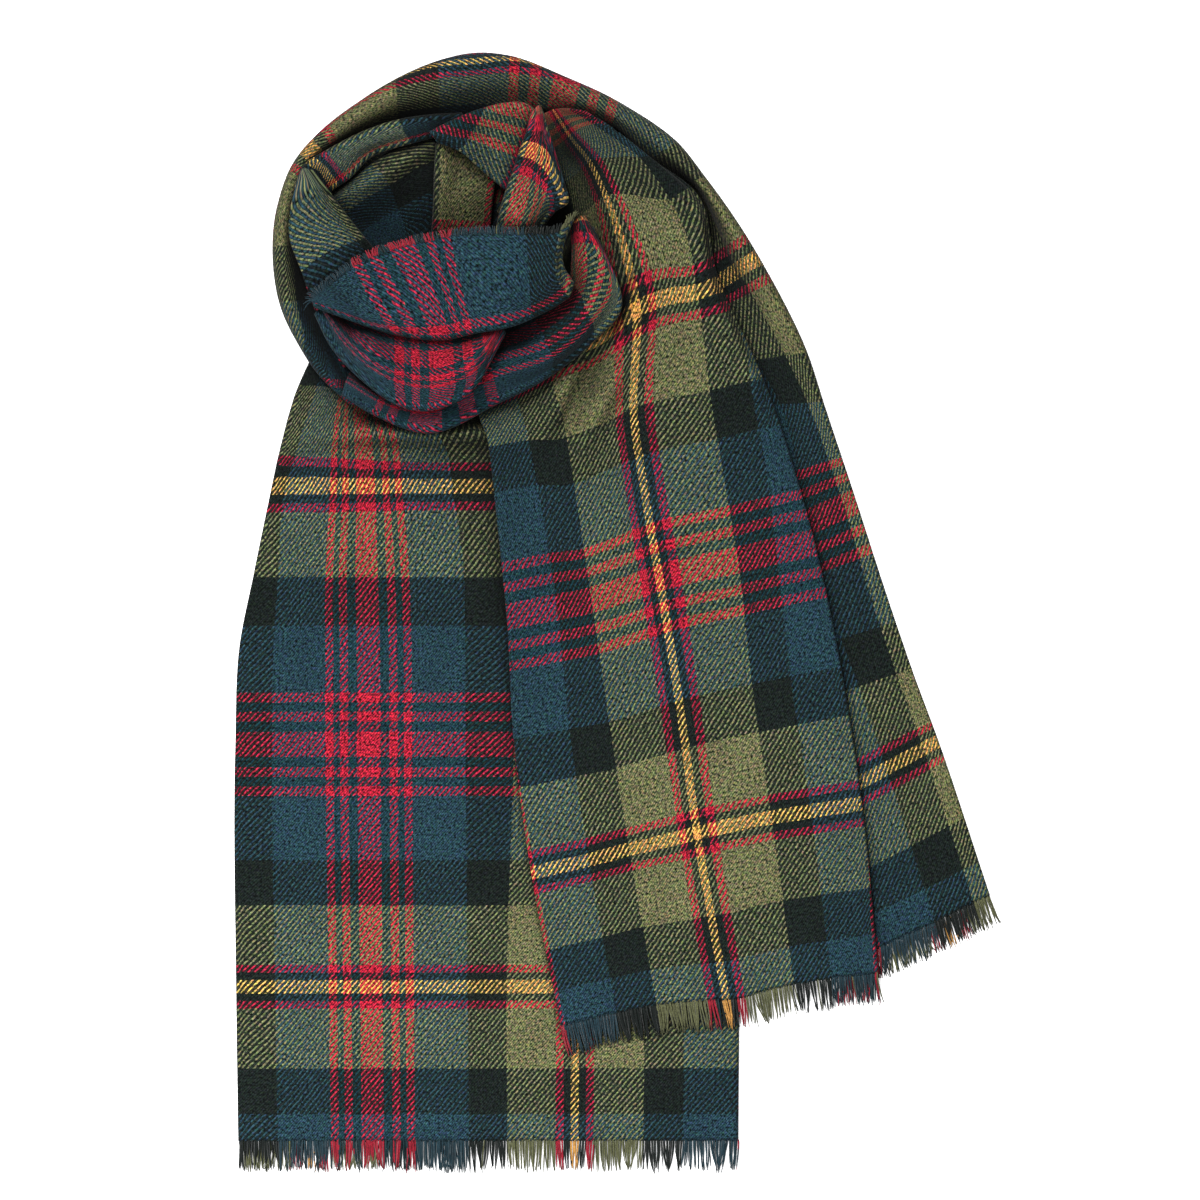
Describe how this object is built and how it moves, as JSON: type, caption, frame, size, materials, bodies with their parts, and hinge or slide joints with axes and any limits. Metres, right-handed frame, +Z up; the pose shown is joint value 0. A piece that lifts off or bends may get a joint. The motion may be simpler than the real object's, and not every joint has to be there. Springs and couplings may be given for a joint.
{
  "type": "tartan scarf",
  "caption": "Wide twill tartan scarf lying flat, wound into a knotted collar with both fringed ends laid down in front.",
  "frame": {"origin": "centre of the whole outline on the surface that the scarf lies on", "axes": "+Y from the fringed ends to the top of the collar, +Z up off the surface, +X to the side where the second end's folded back layer shows"},
  "size_m": [0.5308, 0.7836, 0.0584],
  "materials": {
    "cloth": "brushed twill tartan in blue, black and olive with red, teal and yellow lines",
    "padding": "the same cloth, in hidden layers",
    "fringe": "loose warp yarn ends in the tartan's colours"
  },
  "bodies": {
    "root": {"core": "padding", "fringe_knot": "fringe", "fringe_left": "fringe", "fringe_right_back": "fringe", "fringe_right_front": "fringe", "knot_flap": "cloth", "knot_lip": "cloth", "knot_roll": "cloth", "left_flap": "cloth", "loop_outer": "cloth", "neck_slope": "cloth", "olive_panel": "cloth", "ridge_wrap": "cloth", "second_wrap": "cloth", "spur_fold": "cloth", "tail_left": "cloth", "tail_right_front": "cloth"}
  },
  "joints": []
}
